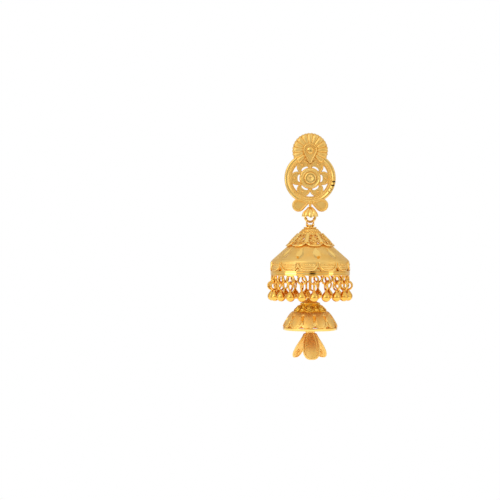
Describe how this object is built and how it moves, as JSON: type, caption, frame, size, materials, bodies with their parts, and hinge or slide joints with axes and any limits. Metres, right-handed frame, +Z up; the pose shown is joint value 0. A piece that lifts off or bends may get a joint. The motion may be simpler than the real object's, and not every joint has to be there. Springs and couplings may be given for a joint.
{
  "type": "jhumka earring",
  "caption": "Drop earring: a post stud with fan and flower ring carries a pierced bell with a fringe of ball drops, a smaller petalled bell and a bud.",
  "frame": {"origin": "where the ear post meets the flat back of the fan, on the post's axis", "axes": "+Z up along the hanging earring, -Y towards the front that faces the viewer, +Y along the post into the ear, +X to the viewer's right"},
  "size_m": [0.0214, 0.0218, 0.0565],
  "materials": {
    "gold_satin": "satin",
    "gold_polished": "polished"
  },
  "bodies": {
    "stud": {"stud_front": "gold_satin", "ear_post": "gold_polished"},
    "hoop": {"jump_ring": "gold_polished"},
    "upper_bell": {"bell": "gold_satin", "drop_01": "gold_polished", "drop_02": "gold_polished", "drop_03": "gold_polished", "drop_04": "gold_polished", "drop_05": "gold_polished", "drop_06": "gold_polished", "drop_07": "gold_polished", "drop_08": "gold_polished", "drop_09": "gold_polished", "drop_10": "gold_polished", "drop_11": "gold_polished", "drop_12": "gold_polished", "drop_13": "gold_polished", "drop_14": "gold_polished", "drop_15": "gold_polished", "drop_16": "gold_polished", "drop_17": "gold_polished", "drop_18": "gold_polished", "drop_19": "gold_polished", "drop_20": "gold_polished"},
    "small_bell": {"lower_bell": "gold_satin"},
    "petal_bud": {"bud": "gold_satin"}
  },
  "joints": [
    {"name": "drop_swing", "type": "hinge", "parent": "stud", "child": "hoop", "pos_m": [0, -0.00068, -0.01522], "axis": [1, 0, 0], "range_deg": [-20, 30]},
    {"name": "drop_sway", "type": "hinge", "parent": "hoop", "child": "upper_bell", "pos_m": [0, -0.00068, -0.01647], "axis": [0, 1, 0], "range_deg": [-25, 25]},
    {"name": "tier_swing", "type": "hinge", "parent": "upper_bell", "child": "small_bell", "pos_m": [0, -0.00068, -0.03639], "axis": [1, 0, 0], "range_deg": [-20, 20]},
    {"name": "bud_sway", "type": "hinge", "parent": "small_bell", "child": "petal_bud", "pos_m": [0, -0.00068, -0.04107], "axis": [0, 1, 0], "range_deg": [-15, 15]}
  ]
}
